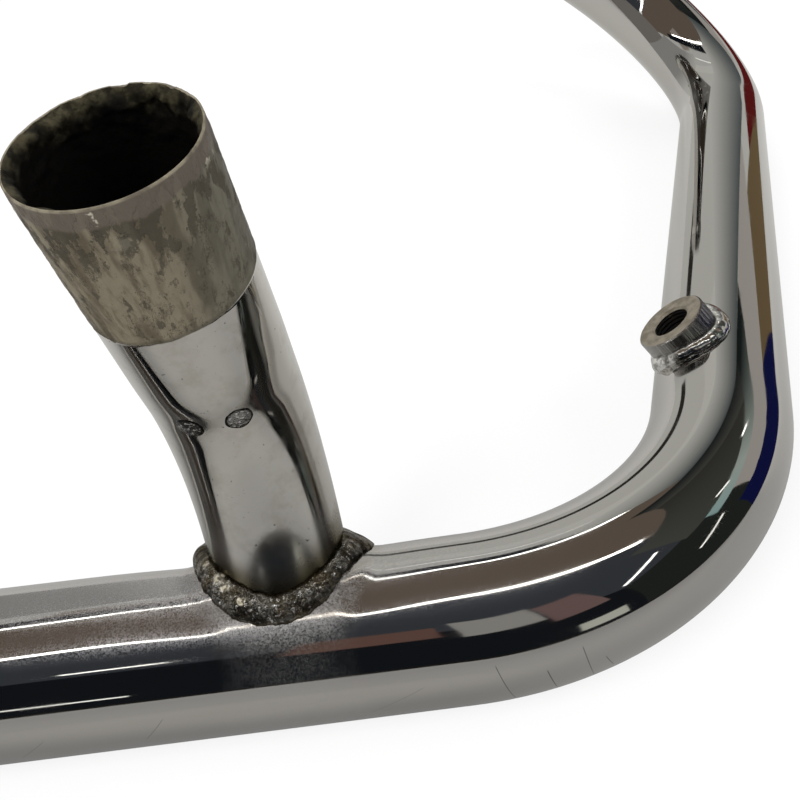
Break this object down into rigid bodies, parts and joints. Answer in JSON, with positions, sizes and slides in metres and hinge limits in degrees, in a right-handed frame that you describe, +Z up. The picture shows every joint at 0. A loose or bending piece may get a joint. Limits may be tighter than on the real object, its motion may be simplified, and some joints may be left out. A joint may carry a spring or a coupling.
{
  "type": "motorcycle exhaust header",
  "caption": "Bent chrome exhaust header tube with a welded crossover stub, a tapped sensor bung and a collar at the head end.",
  "frame": {"origin": "centre of the outlet's mouth, on the axis of the run", "axes": "+X along the run towards the lower bend, +Y from the run towards the head end, +Z up as the header lies on its run and leg"},
  "size_m": [0.4148, 0.4203, 0.1367],
  "materials": {
    "chrome_plate": "bright chrome plate with hairline scratches and sooty bores",
    "stub_plate": "bright chrome plate, with a brown crusted slip end and a sooty bore",
    "sooty_steel": "steel under dry black soot",
    "plated_weld": "lumpy weld metal under chrome plate",
    "bare_weld": "granular dark weld metal with brown heat tint",
    "bung_steel": "plated flanks and a dull tan turned face"
  },
  "bodies": {
    "root": {"header_pipe": "chrome_plate", "crossover_stub": "stub_plate", "stub_sleeve": "sooty_steel", "plug_welds": "plated_weld", "saddle_weld": "bare_weld", "sensor_bung": "bung_steel", "bung_weld": "plated_weld", "port_collar": "chrome_plate", "port_weld": "plated_weld"}
  },
  "joints": []
}
